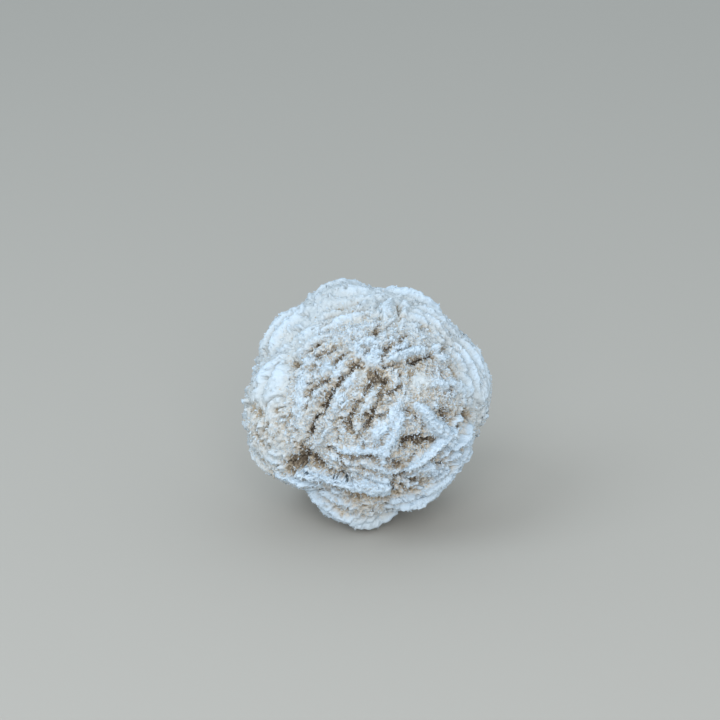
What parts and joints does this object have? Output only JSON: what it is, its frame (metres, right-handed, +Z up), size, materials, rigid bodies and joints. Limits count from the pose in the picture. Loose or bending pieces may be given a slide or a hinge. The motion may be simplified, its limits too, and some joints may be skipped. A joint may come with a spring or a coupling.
{
  "type": "gypsum sand rose",
  "caption": "Ball-shaped cluster of white lens-shaped gypsum crystals grown through each other, with trapped sand, resting on small flats.",
  "frame": {"origin": "on the surface it rests on, under the middle of its box", "axes": "+Z up, +X along its longest side, -Y is the front with the upright parallel blades"},
  "size_m": [0.0502, 0.0496, 0.0469],
  "materials": {
    "gypsum": "dull sugary gypsum with tan sand in its hollows"
  },
  "bodies": {
    "root": {"sand_rose": "gypsum"}
  },
  "joints": []
}
